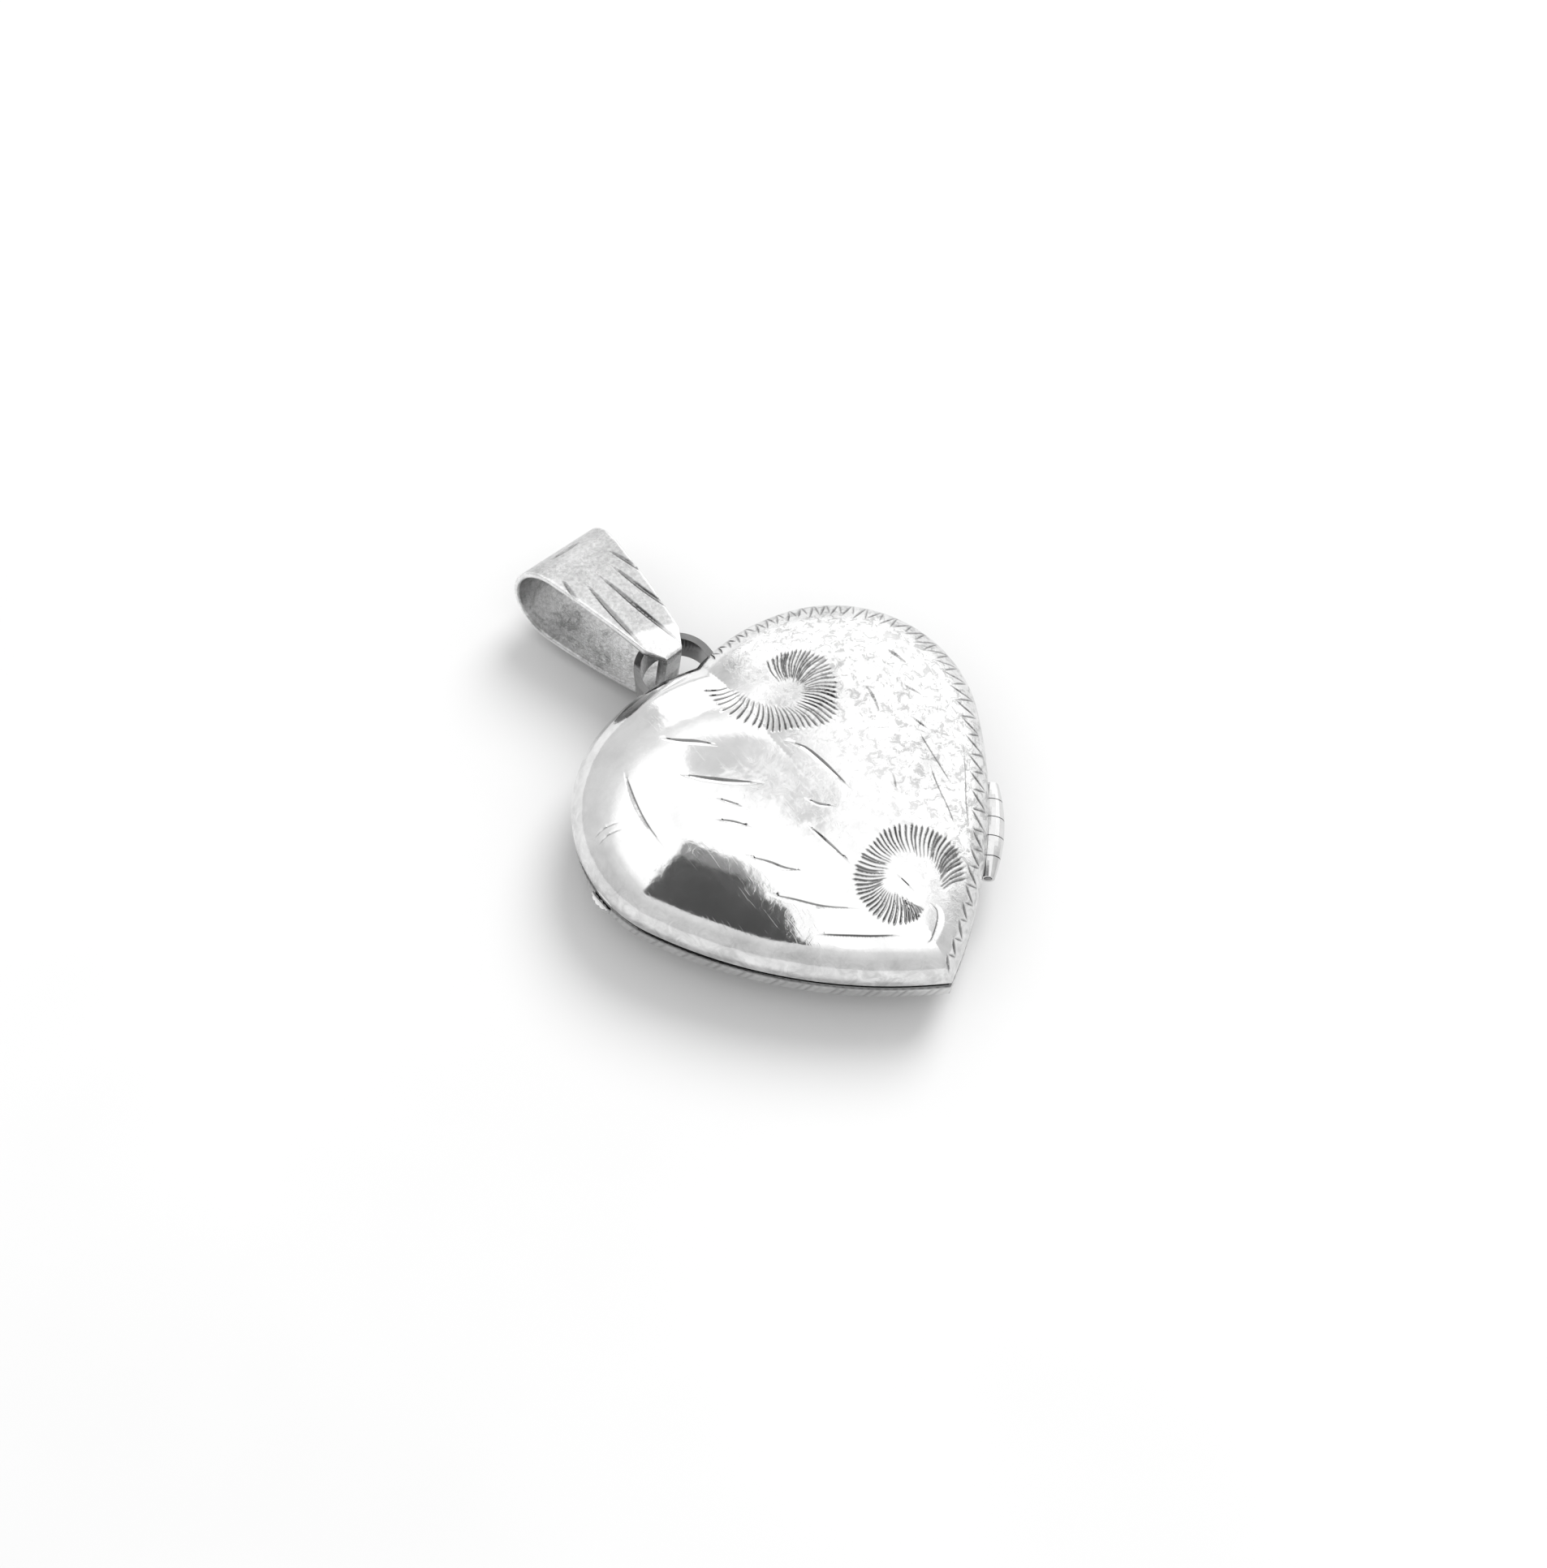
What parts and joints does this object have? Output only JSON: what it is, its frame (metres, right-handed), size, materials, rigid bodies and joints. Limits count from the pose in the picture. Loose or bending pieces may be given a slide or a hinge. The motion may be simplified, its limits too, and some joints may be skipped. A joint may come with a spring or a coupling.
{
  "type": "heart locket pendant",
  "caption": "Hollow heart-shaped hinged locket in silver: two domed halves, side hinge, thumb catch, inner picture frames, strap loop and a tapered folded bail.",
  "frame": {"origin": "middle of the small flat on the crown of the back half, which the locket lies on", "axes": "+Z out of the front cover, +Y from the heart's tip towards its bail, +X to the heart's right seen from the front"},
  "size_m": [0.0203, 0.0292, 0.0064],
  "materials": {
    "polished_silver": "polished",
    "satin_silver": "satin",
    "engraved_silver": "frosted with bright cuts",
    "dull_silver": "dull"
  },
  "bodies": {
    "back_half": {"back_shell": "polished_silver", "back_bezel": "satin_silver", "back_picture_frame": "satin_silver", "thumb_catch": "polished_silver", "bail_loop": "dull_silver", "hinge_pin": "dull_silver", "back_knuckle_lower": "polished_silver", "back_knuckle_middle": "polished_silver", "back_knuckle_upper": "polished_silver"},
    "cover": {"front_shell": "polished_silver", "front_bezel": "satin_silver", "front_picture_frame": "satin_silver", "front_knuckle_lower": "polished_silver", "front_knuckle_upper": "polished_silver"},
    "bail": {"bail": "engraved_silver"}
  },
  "joints": [
    {"name": "cover_hinge", "type": "hinge", "parent": "back_half", "child": "cover", "pos_m": [0.00611, -0.00598, 0.00287], "axis": [0.6561, 0.7547, 0], "range_deg": [0, 178]},
    {"name": "bail_swing", "type": "hinge", "parent": "back_half", "child": "bail", "pos_m": [-0.00082, 0.01102, 0.00265], "axis": [0.9764, 0.1286, -0.1737], "range_deg": [-92, 92]}
  ]
}
